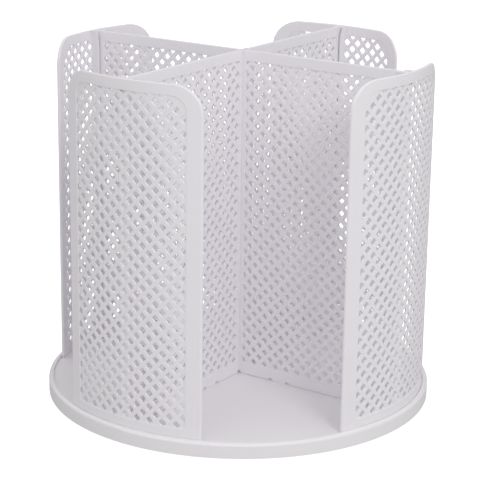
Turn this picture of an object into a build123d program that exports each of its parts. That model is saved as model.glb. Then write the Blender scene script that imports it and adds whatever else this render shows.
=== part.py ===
from build123d import *
import os
from math import cos, radians, sin

# A revolving caddy in moulded plastic. A round tray turns on a ball race over a low
# base. It carries two crossing dividers and four curved outer panels, which make four
# open compartments. Millimetres, +Z up, origin on the table under the pivot, with one
# divider along X and the other along Y.

# ---- Overall sizes ----
tray_radius = 145.0
panel_height = 251.0          # tray floor to the top of the panels and dividers
panel_half_angle = 24.0       # degrees each side of a divider's end

# ---- The stack, from the table up ----
pad_proud = 0.8               # rubber pad below the base
base_rib_depth = 1.0          # ribs under the base's web
base_web = 1.6
ball_diameter = 5.0
ball_gap = 0.1                # above and below each ball
tray_floor = 2.4
lip_rise = 1.8                # lip above the tray's floor
skirt_gap = 1.5               # table to the bottom of the skirt

web_under = pad_proud + base_rib_depth
web_top = web_under + base_web
race_level = web_top + ball_gap + ball_diameter / 2
floor_under = race_level + ball_diameter / 2 + ball_gap
floor_top = floor_under + tray_floor
lip_top = floor_top + lip_rise
panel_top = floor_top + panel_height

# ---- Tray ----
skirt_wall = 2.4
lip_width = 3.5
lip_round = 2.0               # outer edge of the lip
lip_inner_round = 0.4
tray_rib_count = 24           # stiffening ribs between the skirt and the base's rim
tray_rib_wall = 1.5
tray_rib_depth = 3.0
base_side_gap = 4.0           # base's rim to the tray's ribs

# ---- Base plate ----
base_radius = 118.0
rim_wall = 1.8
rim_rise = 2.0                # rim above the web
rib_wall = 1.5
base_rib_count = 8

# ---- Foot pads ----
pad_count = 8
pad_radius = 7.0
pad_circle = 103.0
pad_side_gap = 0.3
pad_ring_wall = 1.2
pad_edge_round = 0.3

# ---- Ball race ----
race_radius = 82.0
ball_count = 16
cage_ball_gap = 0.15          # ball to its hole in the cage
cage_edge = 1.15              # cage wall beside a ball
cage_thickness = 1.6
cage_side_gap = 0.4           # cage to the race walls
race_wall = 1.5
race_split = 0.4              # between the upper and lower race walls

ball_hole = ball_diameter / 2 + cage_ball_gap
cage_half = ball_hole + cage_edge
race_half = cage_half + cage_side_gap

# ---- Pivot ----
head_lift = 0.6               # table to the screw's head
head_height = 1.7
head_radius = 3.5
washer_radius = 12.5
washer_thickness = 1.0
washer_play = 0.3             # washer to the base's hub
washer_side_gap = 0.7
boss_radius = 10.0
pivot_gap = 0.05              # boss in the hub, a running fit
hub_wall = 3.3
hub_top_gap = 1.0             # hub to the tray's underside
shank_radius = 1.5
shank_gap = 0.05              # shank in the boss
washer_hole_gap = 0.3
pilot_skin = 1.2              # left above the boss's blind hole
tip_gap = 0.4
cross_width = 0.8
cross_span = 3.6
cross_depth = 1.0

head_top = head_lift + head_height
boss_under = head_top + washer_thickness
hub_shoulder = boss_under + washer_play
hub_recess = washer_radius + washer_side_gap
hub_radius = hub_recess + hub_wall
hub_top = floor_under - hub_top_gap
pilot_top = floor_top - pilot_skin

# ---- Panels ----
panel_wall = 2.4
lip_panel_gap = 0.4           # lip to the panels
panel_corner = 20.0
side_border = 10.4
top_border = 8.0
bottom_border = 8.5
field_corner = 11.0
field_low_corner = 1.5
panel_web = 1.3               # stands for the open lattice, at nearly its mass
channel_depth = 6.2           # ribs that hold a divider's end
channel_wall = 1.6
flare_height = 9.5            # the channel opens out over this height
flare_out = 3.0

# ---- Dividers ----
divider_wall = 2.6
divider_end_gap = 0.3         # divider's end to the panel's inner face
channel_gap = 0.15            # divider to a channel rib, each side
lap_gap = 0.1                 # one divider in the other's slot, each side
end_border = 9.3
middle_border = 2.9           # solid strip each side of the other divider
divider_corner = 2.0
divider_web = 1.3

# ---- Tabs into the tray's floor ----
tab_width = 12.0
tab_below = 1.4               # under the tray's floor
tab_gap = 0.15                # tab to its slot, all round
barb_out = 0.5
barb_gap = 0.2                # barb to the tray's underside
panel_tab_angle = 14.0        # degrees each side of the channel
divider_tab_inner = 32.0      # from the pivot to the tab
notch_width = 3.0             # relief notch at each end of a divider's tab
notch_height = 1.2

lip_radius = tray_radius - lip_width
panel_outer = lip_radius - lip_panel_gap
panel_inner = panel_outer - panel_wall
divider_reach = panel_inner - divider_end_gap
channel_inner = panel_inner - channel_depth
tab_half_angle = tab_width / 2 / radians(panel_outer)
tab_under = floor_under - tab_below
arm_angles = (0, 90, 180, 270)


def disc(radius, low, high):
    """An upright cylinder on the pivot axis between two levels."""
    return Pos(0, 0, (low + high) / 2) * Cylinder(radius, high - low)


def ring(inner, outer, low, high):
    """A round wall on the pivot axis."""
    return disc(outer, low, high) - disc(inner, low, high)


def ring_sector(inner, outer, middle, half_angle, low, high):
    """A stretch of a round wall, half_angle degrees each side of middle."""
    far = CenterArc((0, 0), outer, middle - half_angle, 2 * half_angle)
    near = CenterArc((0, 0), inner, middle - half_angle, 2 * half_angle)
    outline = make_face([far, near, Line(far @ 0, near @ 0), Line(far @ 1, near @ 1)])
    return Pos(0, 0, low) * extrude(outline, high - low, dir=(0, 0, 1))


def block(x_low, x_high, y_low, y_high, z_low, z_high):
    """A box between two corners."""
    centre = Pos((x_low + x_high) / 2, (y_low + y_high) / 2, (z_low + z_high) / 2)
    return centre * Box(x_high - x_low, y_high - y_low, z_high - z_low)


def window(width, low, high, top_corner, low_corner):
    """An upright opening outline, centred on its width, with rounded corners."""
    outline = Pos(0, (low + high) / 2) * Rectangle(width, high - low)
    if low_corner:
        outline = fillet(outline.vertices().group_by(Axis.Y)[0], low_corner)
    return fillet(outline.vertices().group_by(Axis.Y)[-1], top_corner)


def around(count, radius, turn=0.0):
    """Places on a circle, evenly spaced, each turned to face outwards."""
    for index in range(count):
        yield Rot(0, 0, turn + index * 360 / count) * Pos(radius, 0, 0)


def panel_tabs(grow, low, high):
    """A panel's two tabs, or the slots for them when grow is the clearance."""
    half = tab_half_angle + grow / radians(panel_outer)
    return [
        ring_sector(panel_inner - grow, panel_outer + grow, side * panel_tab_angle, half, low, high)
        for side in (-1, 1)
    ]


def divider_tabs(grow, low, high):
    """A divider's two tabs, or the slots for them when grow is the clearance."""
    half_wall = divider_wall / 2 + grow
    near = divider_tab_inner - grow
    far = divider_tab_inner + tab_width + grow
    return [
        block(side * near if side > 0 else -far, far if side > 0 else -near,
              -half_wall, half_wall, low, high)
        for side in (-1, 1)
    ]


# ---- Turntable tray: floor, lip and skirt in one moulding ----
def make_tray():
    tray = disc(tray_radius, skirt_gap, lip_top)
    tray -= disc(lip_radius, floor_top, lip_top)
    tray -= disc(tray_radius - skirt_wall, skirt_gap, floor_under)
    lip_edges = tray.edges().filter_by(GeomType.CIRCLE).group_by(Axis.Z)[-1]
    inner_edge, outer_edge = lip_edges.sort_by(SortBy.RADIUS)
    tray = fillet(outer_edge, lip_round)
    inner_edge = tray.edges().filter_by(GeomType.CIRCLE).filter_by(
        lambda edge: abs(edge.radius - lip_radius) < 0.01).sort_by(Axis.Z)[-1]
    tray = fillet(inner_edge, lip_inner_round)

    rib_start = base_radius + base_side_gap
    rib = block(rib_start, tray_radius - skirt_wall / 2, -tray_rib_wall / 2, tray_rib_wall / 2,
                floor_under - tray_rib_depth, floor_under)
    half_pitch = 180 / tray_rib_count
    tray += [place * Pos(-rib_start, 0, 0) * rib
             for place in around(tray_rib_count, rib_start, half_pitch)]

    split = race_level + race_split / 2
    inner_race = race_radius - race_half
    outer_race = race_radius + race_half
    tray += ring(inner_race - race_wall, inner_race, split, floor_under)
    tray += ring(outer_race, outer_race + race_wall, split, floor_under)
    tray += disc(boss_radius, boss_under, floor_under)
    tray -= disc(shank_radius + shank_gap, boss_under, pilot_top)

    slots = []
    for angle in arm_angles:
        slots += [Rot(0, 0, angle) * slot for slot in panel_tabs(tab_gap, floor_under, floor_top)]
    for angle in (0, 90):
        slots += [Rot(0, 0, angle) * slot for slot in divider_tabs(tab_gap, floor_under, floor_top)]
    return tray - slots


# ---- Outer panel: curved frame, thin web, divider channel and snap tabs ----
def make_panel():
    wall = ring_sector(panel_inner, panel_outer, 0, panel_half_angle, floor_top, panel_top)
    half_width = panel_outer * sin(radians(panel_half_angle))
    outline = window(2 * half_width, floor_top, panel_top, panel_corner, 0)
    panel = wall & extrude(Plane.YZ * outline, tray_radius)

    field = window(2 * (half_width - side_border), floor_top + bottom_border,
                   panel_top - top_border, field_corner, field_low_corner)
    opening = extrude(Plane.YZ * field, tray_radius)
    recess = (panel_wall - panel_web) / 2
    panel -= opening & ring(panel_outer - recess, tray_radius, floor_top, panel_top)
    panel -= opening & ring(panel_inner - panel_wall, panel_inner + recess, floor_top, panel_top)

    face = divider_wall / 2 + channel_gap
    flare_start = panel_top - flare_height
    for side in (-1, 1):
        profile = [
            (side * face, floor_top),
            (side * (face + channel_wall), floor_top),
            (side * (face + channel_wall), flare_start),
            (side * (face + channel_wall + flare_out), panel_top),
            (side * (face + flare_out), panel_top),
            (side * face, flare_start),
        ]
        strip = extrude(Plane.YZ * make_face(Polyline(*profile, close=True)), tray_radius)
        panel += strip & ring(channel_inner, panel_outer - recess, floor_top, panel_top)

    panel += panel_tabs(0, tab_under, floor_top)
    barb_top = floor_under - barb_gap
    for side in (-1, 1):
        panel += ring_sector(panel_inner - barb_out, panel_outer, side * panel_tab_angle,
                             tab_half_angle, tab_under, barb_top)
    return panel


# ---- Divider: a flat frame and thin web right across the tray, half-lapped ----
def make_divider(slot_low, slot_high):
    half_wall = divider_wall / 2
    divider = block(-divider_reach, divider_reach, -half_wall, half_wall, floor_top, panel_top)

    inner = half_wall + lap_gap + middle_border
    outer = divider_reach - end_border
    field = window(outer - inner, floor_top + bottom_border, panel_top - top_border,
                   divider_corner, divider_corner)
    recess = (divider_wall - divider_web) / 2
    for side in (-1, 1):
        opening = Plane.XZ * Pos(side * (inner + outer) / 2, 0) * field
        for face in (-1, 1):
            middle = face * (half_wall - recess / 2)
            divider -= Pos(0, middle, 0) * extrude(opening, recess / 2, both=True)

    lap = half_wall + lap_gap
    divider -= block(-lap, lap, -half_wall, half_wall, slot_low, slot_high)

    divider += divider_tabs(0, tab_under, floor_top)
    for tab in divider_tabs(0, tab_under, floor_under - barb_gap):
        divider += Pos(0, barb_out, 0) * tab
    for side in (-1, 1):
        for edge in (divider_tab_inner - notch_width / 2,
                     divider_tab_inner + tab_width + notch_width / 2):
            divider -= block(side * edge - notch_width / 2, side * edge + notch_width / 2,
                             -half_wall, half_wall, floor_top, floor_top + notch_height)
    return divider


# ---- Base plate: hub, ball race, rim and the ribs and pad seats underneath ----
def make_base():
    base = disc(base_radius, web_under, web_top)
    base += ring(base_radius - rim_wall, base_radius, pad_proud, web_top + rim_rise)
    base += disc(hub_radius, pad_proud, hub_top)

    split = race_level - race_split / 2
    inner_race = race_radius - race_half
    outer_race = race_radius + race_half
    base += ring(inner_race - race_wall, inner_race, web_under, split)
    base += ring(outer_race, outer_race + race_wall, web_under, split)
    base += ring(race_radius - rib_wall / 2, race_radius + rib_wall / 2, pad_proud, web_under)

    rib = block(hub_recess, base_radius - rim_wall / 2, -rib_wall / 2, rib_wall / 2,
                pad_proud, web_under)
    base += [Rot(0, 0, index * 360 / base_rib_count) * rib for index in range(base_rib_count)]

    seat = pad_radius + pad_side_gap
    seat_ring = ring(seat, seat + pad_ring_wall, pad_proud, web_under)
    base += [place * seat_ring for place in around(pad_count, pad_circle, 180 / pad_count)]

    base -= disc(boss_radius + pivot_gap, pad_proud, hub_top)
    return base - disc(hub_recess, pad_proud, hub_shoulder)


# ---- Ball cage and its balls ----
def make_cage():
    cage = ring(race_radius - cage_half, race_radius + cage_half,
                race_level - cage_thickness / 2, race_level + cage_thickness / 2)
    hole = Pos(0, 0, race_level) * Cylinder(ball_hole, cage_thickness)
    return cage - [place * hole for place in around(ball_count, race_radius)]


def make_balls():
    ball = Pos(0, 0, race_level) * Sphere(ball_diameter / 2)
    return Compound([place * ball for place in around(ball_count, race_radius)])


# ---- Pivot screw, washer and foot pads ----
def make_screw():
    screw = disc(head_radius, head_lift, head_top)
    screw = fillet(screw.edges().group_by(Axis.Z)[0], head_height / 3)
    screw += disc(shank_radius, head_top, pilot_top - tip_gap)
    screw = chamfer(screw.edges().group_by(Axis.Z)[-1], shank_radius / 2)
    cross_top = head_lift + cross_depth
    half_span = cross_span / 2
    half_slot = cross_width / 2
    screw -= block(-half_span, half_span, -half_slot, half_slot, head_lift, cross_top)
    return screw - block(-half_slot, half_slot, -half_span, half_span, head_lift, cross_top)


def make_washer():
    return ring(shank_radius + washer_hole_gap, washer_radius, head_top, boss_under)


def make_pad():
    pad = disc(pad_radius, 0, web_under)
    return fillet(pad.edges().group_by(Axis.Z)[0], pad_edge_round)


middle_level = floor_top + panel_height / 2
panel = make_panel()
pad = make_pad()
parts = {
    "turntable_tray": make_tray(),
    "divider_slotted_above": make_divider(middle_level, panel_top),
    "divider_slotted_below": Rot(0, 0, 90) * make_divider(floor_top, middle_level),
    "base_plate": make_base(),
    "ball_cage": make_cage(),
    "bearing_balls": make_balls(),
    "pivot_screw": make_screw(),
    "pivot_washer": make_washer(),
}
panel_names = ("front_right", "back_right", "back_left", "front_left")
for name, angle in zip(panel_names, arm_angles):
    parts["outer_panel_" + name] = Rot(0, 0, angle) * panel
for number, place in enumerate(around(pad_count, pad_circle, 180 / pad_count), 1):
    parts[f"foot_pad_{number}"] = place * pad

os.makedirs("parts", exist_ok=True)
for name, shape in parts.items():
    export_step(shape, f"parts/{name}.step")
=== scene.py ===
from math import atan2, ceil, cos, pi, radians, sin, sqrt

import bmesh
import bpy
from mathutils import Matrix, Vector


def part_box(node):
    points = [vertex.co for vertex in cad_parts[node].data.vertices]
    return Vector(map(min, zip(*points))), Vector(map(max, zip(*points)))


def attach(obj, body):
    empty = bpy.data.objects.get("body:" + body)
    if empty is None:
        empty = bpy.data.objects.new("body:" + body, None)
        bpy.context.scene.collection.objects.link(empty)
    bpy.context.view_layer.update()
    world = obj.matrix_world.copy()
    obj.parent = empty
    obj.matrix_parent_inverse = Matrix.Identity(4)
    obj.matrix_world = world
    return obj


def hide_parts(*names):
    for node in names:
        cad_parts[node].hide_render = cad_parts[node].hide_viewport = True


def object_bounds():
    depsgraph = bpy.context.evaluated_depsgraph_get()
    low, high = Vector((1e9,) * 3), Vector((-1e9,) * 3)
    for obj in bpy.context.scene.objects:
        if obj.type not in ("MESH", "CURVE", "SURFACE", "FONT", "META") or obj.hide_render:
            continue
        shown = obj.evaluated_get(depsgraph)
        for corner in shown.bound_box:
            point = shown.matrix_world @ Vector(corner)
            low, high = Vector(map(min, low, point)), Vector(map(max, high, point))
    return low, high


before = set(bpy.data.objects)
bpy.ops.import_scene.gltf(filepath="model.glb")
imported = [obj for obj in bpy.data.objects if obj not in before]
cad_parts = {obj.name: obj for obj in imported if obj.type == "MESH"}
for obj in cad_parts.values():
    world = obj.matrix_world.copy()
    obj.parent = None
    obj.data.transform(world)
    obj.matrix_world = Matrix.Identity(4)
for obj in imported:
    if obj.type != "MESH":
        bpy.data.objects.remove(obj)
cad_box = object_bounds()

# ---------------------------------------------------------------------------------------
# The studio: a camera on a long lens a little above the caddy, a white floor, one soft box
# and a pale surround. The caddy stands with the opening between two panels in front.
# ---------------------------------------------------------------------------------------
scene = bpy.context.scene
scene.view_settings.view_transform = "Standard"

camera_bearing = radians(34.417)       # round from the -Y side towards +X
camera_distance = 1.23856              # from the pivot, level
camera_height = 0.48170
camera_dip = radians(16.417)
camera_roll = radians(0.767)

camera_data = bpy.data.cameras.new("camera")
camera_data.lens = 128.47
camera_data.sensor_width = 36.0
camera_data.clip_start = 0.05
camera_data.clip_end = 20.0
camera = bpy.data.objects.new("camera", camera_data)
scene.collection.objects.link(camera)
stand = Vector((sin(camera_bearing), -cos(camera_bearing), 0)) * camera_distance
camera.matrix_world = (Matrix.Translation(stand + Vector((0, 0, camera_height)))
                       @ Matrix.Rotation(camera_bearing, 4, "Z")
                       @ Matrix.Rotation(pi / 2 - camera_dip, 4, "X")
                       @ Matrix.Rotation(camera_roll, 4, "Z"))
scene.camera = camera


def soft_box(name, bearing, height, distance, width, power):
    """A square area light turned towards the middle of the caddy."""
    light = bpy.data.lights.new(name, "AREA")
    light.energy = power
    light.size = width
    lamp = bpy.data.objects.new(name, light)
    scene.collection.objects.link(lamp)
    turn = camera_bearing + radians(bearing)
    place = Vector((sin(turn), -cos(turn), 0)) * distance + Vector((0, 0, height))
    aim = Vector((0, 0, cad_box[1].z / 2)) - place
    lamp.matrix_world = Matrix.Translation(place) @ aim.to_track_quat("-Z", "Y").to_matrix().to_4x4()


soft_box("key_softbox", bearing=24, height=1.1, distance=1.5, width=0.5, power=6.3)


class Wire:
    """An output in a material's or the world's node tree. Arithmetic on it adds Math nodes."""

    def __init__(self, tree, socket=None):
        self.tree = tree
        self.socket = socket

    def node(self, kind, settings=None, values=None, out=0):
        """Adds a node: its settings first, then values or links for its inputs."""
        made = self.tree.nodes.new(kind)
        for name, value in (settings or {}).items():
            setattr(made, name, value)
        for name, value in (values or {}).items():
            if isinstance(value, Wire):
                self.tree.links.new(value.socket, made.inputs[name])
            else:
                made.inputs[name].default_value = value
        return Wire(self.tree, made.outputs[out] if made.outputs else None)

    def maths(self, operation, first, second):
        return self.node("ShaderNodeMath", {"operation": operation}, {0: first, 1: second})

    def __add__(self, other):
        return self.maths("ADD", self, other)

    def __sub__(self, other):
        return self.maths("SUBTRACT", self, other)

    def __rsub__(self, other):
        return self.maths("SUBTRACT", other, self)

    def __mul__(self, other):
        return self.maths("MULTIPLY", self, other)

    __radd__ = __add__
    __rmul__ = __mul__


def new_tree(owner):
    """An empty node tree on a material or the world, as a Wire to start from."""
    owner.use_nodes = True
    owner.node_tree.nodes.clear()
    return Wire(owner.node_tree)


def mixed(factor, first, second):
    """A colour between two colours."""
    return factor.node("ShaderNodeMix", {"data_type": "RGBA"}, {0: factor, 6: first, 7: second}, out=2)


world = bpy.data.worlds.new("surround")
scene.world = world
air = new_tree(world)
seen = air.node("ShaderNodeBackground", values={"Color": (1, 1, 1, 1), "Strength": 1.0})
toward = air.node("ShaderNodeTexCoord", out="Generated")
overhead = air.node("ShaderNodeSeparateXYZ", values={0: toward}, out=2)
overhead = air.node("ShaderNodeClamp", values={"Value": overhead, "Min": 0.0, "Max": 1.0})
front = air.node("ShaderNodeVectorMath", {"operation": "DOT_PRODUCT"}, {
    0: toward, 1: (sin(camera_bearing), -cos(camera_bearing), 0.25)}, out=1)
front = air.node("ShaderNodeClamp", values={"Value": front, "Min": 0.0, "Max": 1.0})
lighting = air.node("ShaderNodeBackground", values={
    "Color": (1, 0.99, 0.99, 1), "Strength": overhead * 0.38 + front * 0.17 + 0.43})
straight = air.node("ShaderNodeLightPath", out="Is Camera Ray")
shown = air.node("ShaderNodeMixShader", values={0: straight, 1: lighting, 2: seen})
air.node("ShaderNodeOutputWorld", values={"Surface": shown})

floor_finish = bpy.data.materials.new("studio_floor")
sweep = new_tree(floor_finish)
grain = sweep.node("ShaderNodeTexNoise", values={"Scale": 3.0, "Detail": 2.0})
lens = sweep.node("ShaderNodeLightPath", out="Is Camera Ray")
paper = sweep.node("ShaderNodeBsdfPrincipled", values={
    "Base Color": mixed(grain, (0.5, 0.5, 0.5, 1), (0.54, 0.54, 0.54, 1)), "Roughness": 0.9,
    "Emission Color": (1, 1, 1, 1), "Emission Strength": lens * 0.95 + 0.07})
under = sweep.node("ShaderNodeBsdfTransparent")
behind = sweep.node("ShaderNodeNewGeometry", out="Backfacing")
sweep_side = sweep.node("ShaderNodeMixShader", values={0: behind, 1: paper, 2: under})
sweep.node("ShaderNodeOutputMaterial", values={"Surface": sweep_side})

floor_sheet = bmesh.new()
bmesh.ops.create_grid(floor_sheet, x_segments=1, y_segments=1, size=6)
floor_mesh = bpy.data.meshes.new("studio_floor")
floor_sheet.to_mesh(floor_mesh)
floor_sheet.free()
floor_mesh.materials.append(floor_finish)
studio_floor = bpy.data.objects.new("studio_floor", floor_mesh)
scene.collection.objects.link(studio_floor)


# ---------------------------------------------------------------------------------------
# Dividers: two flat lattice plates, half-lapped at the pivot. Each is one white
# polypropylene moulding with a raised frame, and snap tabs hold it in the tray's floor.
# ---------------------------------------------------------------------------------------
hair = 1e-5                            # a distance too small to matter
speck = 1e-6                           # and one for levels that should be equal
sharp = 1.0                            # a corner turns by more than this, in radians
least_hole = 0.0003                    # a hole's middle is at least this far from its sides
big_corner = 0.004                     # a corner rounder than this is cut in more steps


def outline_cuts(field, corners, grow=0.0):
    """(point, outward direction) of each straight cut round a field with rounded corners."""
    left, right, low, high = field
    top_round, low_round = corners
    cuts = []
    for x, y, radius, start in ((right, high, top_round, 0), (left, high, top_round, 90),
                                (left, low, low_round, 180), (right, low, low_round, 270)):
        facing = Vector((cos(radians(start + 45)), sin(radians(start + 45)), 0)) * sqrt(2)
        centre = Vector((x, y, 0)) - facing * radius
        steps = 7 if radius > big_corner else 2
        for step in range(steps + 1):
            angle = radians(start + 90 * step / steps)
            outward = Vector((cos(angle), sin(angle), 0))
            cuts.append((centre + outward * (radius + grow), outward))
    return cuts


def outside(point, cuts):
    """Whether a point lies beyond any of the cuts."""
    return any((point - place).dot(outward) > 2 * hair for place, outward in cuts)


def cut(sheet, cuts, clear, within=lambda middle: True):
    """Cuts a flat sheet along straight lines. Clear takes away what is outside them."""
    for place, outward in cuts:
        faces = [face for face in sheet.faces if within(face.calc_center_median())]
        parts = list({part for face in faces for part in (face, *face.edges, *face.verts)})
        bmesh.ops.bisect_plane(sheet, geom=parts, dist=hair, plane_co=place, plane_no=outward,
                               clear_outer=clear)


def clearance(face):
    """Distance from the middle of a flat face to its nearest edge."""
    middle = face.calc_center_median()
    sides = [(loop.vert.co, (loop.link_loop_next.vert.co - loop.vert.co).normalized())
             for loop in face.loops]
    return min((start - middle).cross(along).length for start, along in sides)


def rim_place(point, rim, rim_round, outline, outline_rounds):
    """Where a point on the lattice's rim goes on the plate's outline."""
    left, right, low, high = rim
    out_left, out_right, out_low, out_high = outline
    side = 1 if 2 * point.x > left + right else -1
    edge, out_edge, corner = (right, out_right, outline_rounds[1]) if side > 0 else (
        left, out_left, outline_rounds[0])
    bend = Vector((edge - side * rim_round, high - rim_round))
    out_bend = Vector((out_edge - side * corner, out_high - corner))
    if (point.x - bend.x) * side > 0 and point.y > bend.y:
        return out_bend + (point.xy - bend).normalized() * corner
    if high - point.y < hair:
        start, out_start = (left + right) / 2, (out_left + out_right) / 2
        share = (point.x - start) / (bend.x - start)
        return Vector((out_start + share * (out_bend.x - out_start), out_high))
    if abs(point.x - edge) < hair:
        share = (point.y - low) / (bend.y - low)
        return Vector((out_edge, out_low + share * (out_bend.y - out_low)))
    share = (point.x - left) / (right - left)
    return Vector((out_left + share * (out_right - out_left), out_low))


def lattice_sheet(field, corners, outline, outline_rounds, pitch, hole, strand):
    """A flat sheet of diamond holes in a plain frame, x across and y up.

    field and outline are (left, right, low, high). pitch is (across, up) from hole to hole,
    hole is the centre of any one hole, and strand is the width of plastic between holes.
    """
    left, right, low, high = field
    margin = strand / 2
    middle = [hole[axis] + pitch[axis] * round(((field[2 * axis] + field[2 * axis + 1]) / 2 - hole[axis])
                                               / pitch[axis]) for axis in (0, 1)]
    count = 2 * ceil(((right - left) / pitch[0] + (high - low) / pitch[1]) / 2 + 1) + 1
    place = (Matrix.Translation((*middle, 0))
             @ Matrix.Diagonal((pitch[0] / sqrt(2), pitch[1] / sqrt(2), 1, 1))
             @ Matrix.Rotation(pi / 4, 4, "Z"))
    sheet = bmesh.new()
    bmesh.ops.create_grid(sheet, x_segments=count, y_segments=count, size=count / 2, matrix=place)
    cut(sheet, outline_cuts(field, corners, margin), clear=True)

    rim = (left - margin, right + margin, low - margin, high + margin)
    loops = [edge for edge in sheet.edges if edge.is_boundary]
    for part in bmesh.ops.extrude_edge_only(sheet, edges=loops)["geom"]:
        if isinstance(part, bmesh.types.BMVert):
            part.co.xy = rim_place(part.co, rim, corners[0] + margin, outline, outline_rounds)

    line = outline_cuts(field, corners)
    rim_line = outline_cuts(field, corners, margin)
    holes = [face for face in sheet.faces
             if clearance(face) > margin + least_hole and not outside(face.calc_center_median(), line)]
    bmesh.ops.inset_individual(sheet, faces=holes, thickness=margin, use_even_offset=True)
    bmesh.ops.delete(sheet, geom=holes, context="FACES_ONLY")
    cut(sheet, line, clear=False, within=lambda middle: not outside(middle, rim_line))
    bmesh.ops.remove_doubles(sheet, verts=sheet.verts, dist=5 * hair)
    bmesh.ops.recalc_face_normals(sheet, faces=sheet.faces)
    if sheet.faces[0].normal.z < 0:
        bmesh.ops.reverse_faces(sheet, faces=sheet.faces)
    return sheet


def thicken(sheet, in_frame, lattice, wall):
    """Gives a flat sheet its thickness, evenly about z = 0, with the frame raised on both sides."""
    bmesh.ops.solidify(sheet, geom=sheet.faces[:], thickness=lattice)
    levels = [vert.co.z for vert in sheet.verts]
    bmesh.ops.translate(sheet, verts=sheet.verts, vec=(0, 0, -(min(levels) + max(levels)) / 2))
    for side in (1, -1):
        faces = [face for face in sheet.faces
                 if face.normal.z * side > 0.9 and in_frame(face.calc_center_median())]
        grown = bmesh.ops.extrude_face_region(sheet, geom=faces)["geom"]
        raised = [part for part in grown if isinstance(part, bmesh.types.BMVert)]
        bmesh.ops.translate(sheet, verts=raised, vec=(0, 0, side * (wall - lattice) / 2))
        bmesh.ops.delete(sheet, geom=[face for face in faces if face.is_valid], context="FACES")
    seams = [edge for edge in sheet.edges if len(edge.link_faces) == 2
             and all(abs(abs(vert.co.z) - lattice / 2) < speck for vert in edge.verts)
             and all(abs(face.normal.z) < 0.1 for face in edge.link_faces)
             and edge.verts[0].co.z * edge.verts[1].co.z > 0]
    bmesh.ops.dissolve_edges(sheet, edges=seams, use_verts=True)


def soften(sheet, edges, width, segments):
    """Rounds edges."""
    bmesh.ops.bevel(sheet, geom=edges, affect="EDGES", offset=width, offset_type="OFFSET",
                    segments=segments, profile=0.5, material=-1, clamp_overlap=False)


def upright(sheet, bearing):
    """Stands a flat plate on its lower edge and turns it round the pivot."""
    matrix = Matrix.Rotation(bearing, 4, "Z") @ Matrix.Rotation(pi / 2, 4, "X")
    bmesh.ops.transform(sheet, matrix=matrix, verts=sheet.verts)


def face_outwards(shape):
    """Turns each closed shell of a shape right side out."""
    left = set(shape.faces)
    while left:
        shell, waiting = [], [left.pop()]
        while waiting:
            face = waiting.pop()
            shell.append(face)
            for edge in face.edges:
                for near in edge.link_faces:
                    if near in left:
                        left.remove(near)
                        waiting.append(near)
        bmesh.ops.recalc_face_normals(shape, faces=shell)
        room = sum(face.normal.dot(face.calc_center_median()) * face.calc_area() for face in shell)
        if room < 0:
            bmesh.ops.reverse_faces(shape, faces=shell)


def piece(name, shape, body, finish, replaced):
    """Makes a finished shape a piece of the caddy, in place of a CAD node."""
    bmesh.ops.remove_doubles(shape, verts=shape.verts, dist=hair / 2)
    bmesh.ops.dissolve_degenerate(shape, edges=shape.edges, dist=2 * speck)
    face_outwards(shape)
    for face in shape.faces:
        face.smooth = True
    mesh = bpy.data.meshes.new(name)
    shape.to_mesh(mesh)
    shape.free()
    mesh.set_sharp_from_angle(angle=radians(50))
    mesh.materials.append(finish)
    made = bpy.data.objects.new(name, mesh)
    scene.collection.objects.link(made)
    shading = made.modifiers.new("even_shading", "WEIGHTED_NORMAL")
    shading.keep_sharp = True
    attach(made, body)
    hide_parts(replaced)


def moulded_plastic(name, light, dark, roughness, grain_size):
    """Satin moulded polypropylene: cloudy colour, fine grain and a slight sink in the flats."""
    finish = bpy.data.materials.new(name)
    start = new_tree(finish)
    place = start.node("ShaderNodeTexCoord", out="Object")
    cloud = place.node("ShaderNodeTexNoise", values={"Vector": place, "Scale": 22.0, "Detail": 3.0})
    grain = place.node("ShaderNodeTexNoise", values={"Vector": place, "Scale": 1 / grain_size,
                                                     "Detail": 4.0, "Roughness": 0.7})
    sink = place.node("ShaderNodeTexNoise", values={"Vector": place, "Scale": 70.0, "Detail": 1.0})
    colour = mixed(cloud * 0.7 + grain * 0.3, dark, light)
    skin = place.node("ShaderNodeBump", values={"Strength": 0.35, "Distance": 0.00004, "Height": grain})
    flats = place.node("ShaderNodeBump", values={"Strength": 0.5, "Distance": 0.00012, "Height": sink,
                                                 "Normal": skin})
    surface = place.node("ShaderNodeBsdfPrincipled", values={
        "Base Color": colour, "Roughness": roughness + (grain - 0.5) * 0.2 + (cloud - 0.5) * 0.1,
        "Normal": flats, "IOR": 1.49})
    place.node("ShaderNodeOutputMaterial", values={"Surface": surface})
    return finish


white_plastic = moulded_plastic("white_plastic", (0.93, 0.91, 0.945, 1), (0.9, 0.88, 0.92, 1),
                                0.42, 0.00035)

divider_low, divider_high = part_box("divider_slotted_above")
panel_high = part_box("outer_panel_front_right")[1]
lip_rise = 0.0018                      # the tray's lip above its floor
floor_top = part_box("turntable_tray")[1].z - lip_rise
plate_top = divider_high.z
tab_bottom = divider_low.z

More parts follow.
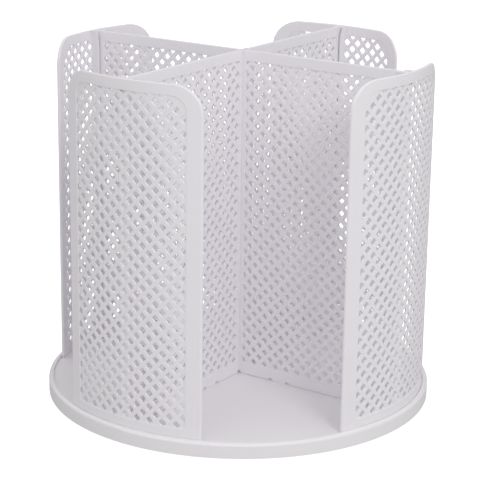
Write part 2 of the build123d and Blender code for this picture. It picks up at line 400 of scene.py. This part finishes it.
divider_wall = 0.0026
divider_lattice = 0.0017
divider_border = 0.0093                # plain frame at the outer end
centre_border = 0.0029                 # plain strip beside the other divider
top_border = 0.0080
bottom_border = 0.0085
slot_half = divider_wall / 2 + 0.0001  # half the slot that the other divider sits in
strand = 0.0031
divider_pitch = (0.00986, 0.00965)
hole_round = 0.0007
corner_room = 2.2 * hole_round         # the shortest side of a hole that has rounded corners
rim_round = 0.0002
plate_round = 0.0007
step_round = 0.00025
step_reach = 0.0002                    # the frame's step lies within this of the holes' field
frame_reach = 0.002                    # and the plate's outline beyond this
tab_near, tab_far = 0.032, 0.044
notch_width, notch_height = 0.003, 0.0012
barb_out, barb_height = 0.0005, 0.0012
foot_gap = 0.0003                      # between the plate's foot and the floor
end_round = 0.0015                     # at the top of the outer end
foot_square = 0.001                    # an outline's edge this near the floor stays square
least_wall = 0.001                     # an upright edge is longer than this
slot_end = floor_top + (plate_top - floor_top) / 2


def lattice_divider(first_hole, joined):
    """Both halves of a divider, joined between two levels at the pivot."""
    field = (slot_half + centre_border, divider_high.x - divider_border,
             floor_top + bottom_border, plate_top - top_border)
    corners = (0.002, 0.002)
    foot = floor_top + foot_gap
    outline = (slot_half, divider_high.x, foot, plate_top)
    sheet = lattice_sheet(field, corners, outline, (0.0, end_round), divider_pitch, first_hole, strand)

    def at_foot(middle):
        return middle.y < floor_top + bottom_border / 2

    for x in (tab_near - notch_width, tab_near, tab_far, tab_far + notch_width):
        cut(sheet, [(Vector((x, 0, 0)), Vector((1, 0, 0)))], clear=False, within=at_foot)
    cut(sheet, [(Vector((0, foot + notch_height, 0)), Vector((0, 1, 0)))], clear=False, within=at_foot)
    notches = [face for face in sheet.faces
               if face.calc_center_median().y < foot + notch_height
               and (tab_near - notch_width < face.calc_center_median().x < tab_near
                    or tab_far < face.calc_center_median().x < tab_far + notch_width)]
    bmesh.ops.delete(sheet, geom=notches, context="FACES")
    for level in (tab_bottom + barb_height, tab_bottom):
        feet = [edge for edge in sheet.edges if edge.is_boundary and max(
                    vert.co.y for vert in edge.verts) < foot + hair
                and tab_near < (edge.verts[0].co.x + edge.verts[1].co.x) / 2 < tab_far
                and abs(edge.verts[0].co.y - edge.verts[1].co.y) < speck]
        for part in bmesh.ops.extrude_edge_only(sheet, edges=feet)["geom"]:
            if isinstance(part, bmesh.types.BMVert):
                part.co.y = level

    low, high = max(joined[0], foot), joined[1]
    cut(sheet, [(Vector((0, level, 0)), Vector((0, 1, 0))) for level in joined if foot < level < plate_top],
        clear=False, within=lambda middle: middle.x < field[0])
    bmesh.ops.mirror(sheet, geom=sheet.verts[:] + sheet.edges[:] + sheet.faces[:], axis="X", merge_dist=-1)
    seam = [edge for edge in sheet.edges if edge.is_boundary and all(
        abs(abs(vert.co.x) - slot_half) < speck and low - speck < vert.co.y < high + speck
        for vert in edge.verts)]
    bmesh.ops.bridge_loops(sheet, edges=seam)
    bmesh.ops.recalc_face_normals(sheet, faces=sheet.faces)
    if sheet.faces[0].normal.z < 0:
        bmesh.ops.reverse_faces(sheet, faces=sheet.faces)

    line = outline_cuts(field, corners)
    inner = outline_cuts(field, corners, -5 * hair)

    def mirrored(point):
        return Vector((abs(point.x), point.y, point.z))

    thicken(sheet, lambda middle: outside(mirrored(middle), line), divider_lattice, divider_wall)
    barbs = [face for face in sheet.faces if face.normal.z < -0.9
             and face.calc_center_median().y < tab_bottom + barb_height]
    for part in bmesh.ops.extrude_face_region(sheet, geom=barbs)["geom"]:
        if isinstance(part, bmesh.types.BMVert) and part.co.y > tab_bottom + hair:
            part.co.z -= barb_out
    bmesh.ops.delete(sheet, geom=[face for face in barbs if face.is_valid], context="FACES")
    soften_plate(sheet, inner, outline_cuts(field, corners, step_reach),
                 outline_cuts(field, corners, frame_reach), field[0], plate_round, mirrored)
    return sheet


def soften_plate(sheet, inner, step_line, outer, reach, edge_round, mirrored=lambda point: point):
    """Rounds the corners and rims of the holes, the frame's step and the plate's own outline."""
    top_level = max(vert.co.z for vert in sheet.verts if vert.co.y > (floor_top + plate_top) / 2)

    def on_outline(edge):
        clear = all(outside(mirrored(vert.co), outer) and vert.co.y > floor_top - speck
                    for vert in edge.verts)
        middle = mirrored((edge.verts[0].co + edge.verts[1].co) / 2)
        return clear and middle.y > floor_top + foot_square and abs(middle.x) > reach

    def is_step(edge):
        near_field = not any(outside(mirrored(vert.co), step_line) for vert in edge.verts)
        raised = min(abs(vert.co.z) for vert in edge.verts) > top_level - speck
        return near_field and raised and len(edge.link_faces) == 2 and edge.calc_face_angle(0) > sharp

    def in_lattice(edge):
        return not any(outside(mirrored(vert.co), inner) for vert in edge.verts)

    def is_upright(edge):
        return abs(edge.verts[0].co.z - edge.verts[1].co.z) > least_wall

    def is_rim(edge):
        return abs(edge.verts[0].co.z - edge.verts[1].co.z) < speck and edge.calc_face_angle(0) > sharp

    def room(edge):
        return min(near.calc_length() for vert in edge.verts for near in vert.link_edges if is_rim(near))

    corners = [edge for edge in sheet.edges
               if is_upright(edge) and in_lattice(edge) and room(edge) > corner_room]
    soften(sheet, corners, hole_round, 2)
    soften(sheet, [edge for edge in sheet.edges if is_rim(edge) and in_lattice(edge)], rim_round, 1)
    soften(sheet, [edge for edge in sheet.edges if is_rim(edge) and on_outline(edge)], edge_round, 3)
    soften(sheet, [edge for edge in sheet.edges if is_step(edge)], step_round, 2)


for name, bearing, first_hole, joined in (
        ("divider_slotted_above", 0, (0.0093, 0.2491), (floor_top, slot_end)),
        ("divider_slotted_below", pi / 2, (0.0072, 0.2540), (slot_end, plate_top))):
    divider = lattice_divider(first_hole, joined)
    upright(divider, bearing)
    piece(name.replace("divider", "lattice_divider"), divider, "turntable",
          white_plastic, name)


# ---------------------------------------------------------------------------------------
# Outer panels: four curved lattice plates of the same plastic. Two ribs inside each make a
# channel that grips the end of a divider, and opens out at the top to guide it in.
# ---------------------------------------------------------------------------------------
panel_wall = 0.0024
panel_lattice = 0.0016
panel_strand = 0.00285
panel_round = 0.0009
panel_corner = 0.020
side_border = 0.0104
panel_pitch = (0.0101, 0.0101)
panel_outer = panel_high.x
panel_mean = panel_outer - panel_wall / 2
panel_half = panel_high.y
channel_depth = 0.0062
grip_gap = 0.00015                     # between a rib and the divider
channel_inner = panel_outer - panel_wall - channel_depth
channel_face = divider_wall / 2 + grip_gap
channel_wall = 0.0016
rib_bite = 0.0001                      # how far a rib runs into the lattice
rib_round = 0.0003
strip_lap = 0.0002                     # how far the closed strip goes behind each rib
strip_lift = 0.001
flare_height, flare_out = 0.0095, 0.0030
panel_tab_bearing, panel_tab_half = radians(14), 0.006
panel_tab_root = 0.001                 # a tab starts this far above the floor


def bent(sheet):
    """Bends a flat plate to the tray's curve, its columns staying evenly spaced across."""
    for vert in sheet.verts:
        across, up, out = vert.co
        vert.co = (sqrt((panel_mean + out) ** 2 - across ** 2), across, up)


def channel_rib(shape, side):
    """One upright rib of the channel, from the floor to the panel's top, flared at its mouth."""
    width = channel_wall
    back = panel_outer - (panel_wall + panel_lattice) / 2 + rib_bite
    middle = Vector(((channel_inner + back) / 2, side * (channel_face + width / 2),
                     (floor_top + plate_top) / 2))
    size = (back - channel_inner, width, plate_top - floor_top)
    rib = bmesh.ops.create_cube(
        shape, size=1, matrix=Matrix.Translation(middle) @ Matrix.Diagonal((*size, 1)))
    faces = {face for vert in rib["verts"] for face in vert.link_faces}
    edges = {edge for vert in rib["verts"] for edge in vert.link_edges}
    split = bmesh.ops.bisect_plane(shape, geom=[*rib["verts"], *edges, *faces], dist=speck,
                                   plane_co=(0, 0, plate_top - flare_height), plane_no=(0, 0, 1))
    parts = [part for part in split["geom"] + split["geom_cut"] if isinstance(part, bmesh.types.BMVert)]
    top = {vert for vert in parts if vert.co.z > plate_top - speck}
    for vert in top:
        vert.co.y += side * flare_out
    rims = {edge for vert in parts for edge in vert.link_edges if edge.calc_face_angle(0) > sharp}
    soften(shape, list(rims), rib_round, 2)


def panel_tab(shape, bearing):
    """A snap tab: a short stretch of the panel's wall below the floor, with a wedge barb inside."""
    half = panel_tab_half / panel_outer
    outer, inner = panel_outer, panel_outer - panel_wall
    root = floor_top + panel_tab_root
    profile = [(outer, root), (inner, root), (inner, tab_bottom + barb_height),
               (inner - barb_out, tab_bottom + barb_height), (inner, tab_bottom), (outer, tab_bottom)]
    verts = [shape.verts.new((x, 0, z)) for x, z in profile]
    face = shape.faces.new(verts)
    bmesh.ops.rotate(shape, verts=verts, matrix=Matrix.Rotation(bearing - half, 3, "Z"))
    bmesh.ops.spin(shape, geom=[face], axis=(0, 0, 1), cent=(0, 0, 0), angle=2 * half, steps=4)


panel_field = (side_border - panel_half, panel_half - side_border,
               floor_top + bottom_border, plate_top - top_border)
panel_corners = (0.011, 0.0)
panel = lattice_sheet(panel_field, panel_corners, (-panel_half, panel_half, floor_top, plate_top),
                      (panel_corner, panel_corner), panel_pitch, (0, plate_top - top_border), panel_strand)
panel_line = outline_cuts(panel_field, panel_corners)
thicken(panel, lambda middle: outside(middle, panel_line), panel_lattice, panel_wall)
soften_plate(panel, outline_cuts(panel_field, panel_corners, -5 * hair),
             outline_cuts(panel_field, panel_corners, step_reach),
             outline_cuts(panel_field, panel_corners, frame_reach), 0, panel_round)
bent(panel)
for side in (-1, 1):
    channel_rib(panel, side)
    panel_tab(panel, side * panel_tab_bearing)

# The closed strip between the ribs, against the inside of the lattice.
back = panel_outer - (panel_wall + panel_lattice) / 2
bmesh.ops.create_cube(panel, size=1, matrix=Matrix.Translation(
    ((panel_outer - panel_wall + back) / 2, 0, (floor_top + plate_top - top_border) / 2 + strip_lift))
    @ Matrix.Diagonal((back - panel_outer + panel_wall, 2 * (channel_face + strip_lap),
                       plate_top - top_border - floor_top, 1)))
bmesh.ops.recalc_face_normals(panel, faces=panel.faces)

for place in ("front_right", "back_right", "back_left", "front_left"):
    low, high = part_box("outer_panel_" + place)
    bearing = atan2(round(low.y + high.y, 4), round(low.x + high.x, 4))
    turned = panel.copy()
    bmesh.ops.rotate(turned, verts=turned.verts, matrix=Matrix.Rotation(bearing, 3, "Z"))
    piece("lattice_panel_" + place, turned, "turntable", white_plastic,
          "outer_panel_" + place)
panel.free()


# ---------------------------------------------------------------------------------------
# Tray: one round polypropylene moulding with a floor, a low rounded lip and a skirt. It is
# lightly scuffed in streaks by the things that are stood on it and dragged off.
# ---------------------------------------------------------------------------------------
def dress(name, finish):
    """Gives a CAD node its material."""
    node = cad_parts[name]
    node.data.materials.clear()
    node.data.materials.append(finish)


tray_plastic = bpy.data.materials.new("tray_plastic")
start = new_tree(tray_plastic)
place = start.node("ShaderNodeTexCoord", out="Object")
cloud = place.node("ShaderNodeTexNoise", values={"Vector": place, "Scale": 18.0, "Detail": 3.0})
grain = place.node("ShaderNodeTexNoise", values={"Vector": place, "Scale": 1 / 0.0004, "Detail": 4.0,
                                                 "Roughness": 0.7})
drag = place.node("ShaderNodeMapping", values={"Vector": place, "Rotation": (0, 0, 0.6),
                                               "Scale": (40, 900, 40)})
scuff = place.node("ShaderNodeTexNoise", values={"Vector": drag, "Scale": 1.0, "Detail": 3.0,
                                                 "Distortion": 0.6})
scuff = place.node("ShaderNodeMapRange", values={"Value": scuff, "From Min": 0.62, "From Max": 0.72})
flow = place.node("ShaderNodeTexWave", {"wave_type": "RINGS", "rings_direction": "Z"}, {
    "Vector": place, "Scale": 9.0, "Distortion": 3.0, "Detail": 2.0})
skin = place.node("ShaderNodeBump", values={"Strength": 0.35, "Distance": 0.00004, "Height": grain})
flats = place.node("ShaderNodeBump", values={"Strength": 0.12, "Distance": 0.00006,
                                             "Height": flow + scuff * 0.3, "Normal": skin})
surface = place.node("ShaderNodeBsdfPrincipled", values={
    "Base Color": mixed(cloud * 0.7 + grain * 0.3, (0.9, 0.882, 0.904, 1), (0.93, 0.912, 0.933, 1)),
    "Roughness": (grain - 0.5) * 0.2 + (cloud - 0.5) * 0.1 + 0.42 + scuff * 0.08,
    "Normal": flats, "IOR": 1.49})
place.node("ShaderNodeOutputMaterial", values={"Surface": surface})
dress("turntable_tray", tray_plastic)


# ---------------------------------------------------------------------------------------
# Base plate: flat round moulding of the same plastic in a slightly greyer batch, with a
# fine spark-eroded mould texture, since nobody sees it.
# ---------------------------------------------------------------------------------------
base_plastic = moulded_plastic("base_plastic", (0.86, 0.85, 0.87, 1), (0.82, 0.81, 0.83, 1), 0.55, 0.0006)
dress("base_plate", base_plastic)


# ---------------------------------------------------------------------------------------
# Ball cage: thin ring moulded in natural acetal, a little waxy and warmer than the tray.
# It floats between the race walls and spaces the balls.
# ---------------------------------------------------------------------------------------
cage_acetal = moulded_plastic("cage_acetal", (0.9, 0.88, 0.82, 1), (0.86, 0.84, 0.77, 1), 0.36, 0.0005)
dress("ball_cage", cage_acetal)


# ---------------------------------------------------------------------------------------
# Balls: sixteen hardened steel balls, lapped bright, with a light haze of grease and the
# faint bands that rolling leaves.
# ---------------------------------------------------------------------------------------
ball_steel = bpy.data.materials.new("ball_steel")
start = new_tree(ball_steel)
place = start.node("ShaderNodeTexCoord", out="Object")
haze = place.node("ShaderNodeTexNoise", values={"Vector": place, "Scale": 500.0, "Detail": 3.0})
bands = place.node("ShaderNodeTexWave", {"bands_direction": "Z"}, {"Vector": place, "Scale": 900.0,
                                                                  "Distortion": 2.0, "Detail": 2.0})
surface = place.node("ShaderNodeBsdfPrincipled", values={
    "Base Color": mixed(haze, (0.74, 0.75, 0.77, 1), (0.82, 0.82, 0.83, 1)), "Metallic": 1.0,
    "Roughness": haze * 0.16 + bands * 0.04 + 0.04})
place.node("ShaderNodeOutputMaterial", values={"Surface": surface})
dress("bearing_balls", ball_steel)


# ---------------------------------------------------------------------------------------
# Pivot screw and washer: zinc-plated steel. The plate is faintly blue and cloudy, and the
# turned or stamped steel shows through it as fine rings round the pivot.
# ---------------------------------------------------------------------------------------
zinc_steel = bpy.data.materials.new("zinc_steel")
start = new_tree(zinc_steel)
place = start.node("ShaderNodeTexCoord", out="Object")
cloud = place.node("ShaderNodeTexNoise", values={"Vector": place, "Scale": 260.0, "Detail": 4.0})
rings = place.node("ShaderNodeTexWave", {"wave_type": "RINGS", "rings_direction": "Z"}, {
    "Vector": place, "Scale": 420.0, "Distortion": 1.2, "Detail": 2.0, "Detail Scale": 3.0})
turned_skin = place.node("ShaderNodeBump", values={"Strength": 0.4, "Distance": 0.00003, "Height": rings})
surface = place.node("ShaderNodeBsdfPrincipled", values={
    "Base Color": mixed(cloud, (0.6, 0.62, 0.66, 1), (0.76, 0.76, 0.77, 1)), "Metallic": 1.0,
    "Roughness": cloud * 0.25 + rings * 0.06 + 0.16, "Normal": turned_skin})
place.node("ShaderNodeOutputMaterial", values={"Surface": surface})
dress("pivot_screw", zinc_steel)
dress("pivot_washer", zinc_steel)


# ---------------------------------------------------------------------------------------
# Foot pads: die-cut discs of matt grey-white rubber, stuck in the seats under the base.
# Dust clings to them in paler and rougher patches.
# ---------------------------------------------------------------------------------------
pad_rubber = bpy.data.materials.new("pad_rubber")
start = new_tree(pad_rubber)
place = start.node("ShaderNodeTexCoord", out="Object")
speckle = place.node("ShaderNodeTexNoise", values={"Vector": place, "Scale": 350.0, "Detail": 5.0,
                                                   "Roughness": 0.65})
pores = place.node("ShaderNodeTexVoronoi", values={"Vector": place, "Scale": 1800.0})
dusty = place.node("ShaderNodeMapRange", values={"Value": speckle, "From Min": 0.45, "From Max": 0.65})
nap = place.node("ShaderNodeBump", values={"Strength": 0.5, "Distance": 0.00005,
                                           "Height": speckle + pores * 0.4})
surface = place.node("ShaderNodeBsdfPrincipled", values={
    "Base Color": mixed(dusty, (0.68, 0.68, 0.66, 1), (0.78, 0.78, 0.77, 1)),
    "Roughness": dusty * 0.18 + 0.7, "Normal": nap})
place.node("ShaderNodeOutputMaterial", values={"Surface": surface})
for number in range(1, 9):
    dress(f"foot_pad_{number}", pad_rubber)
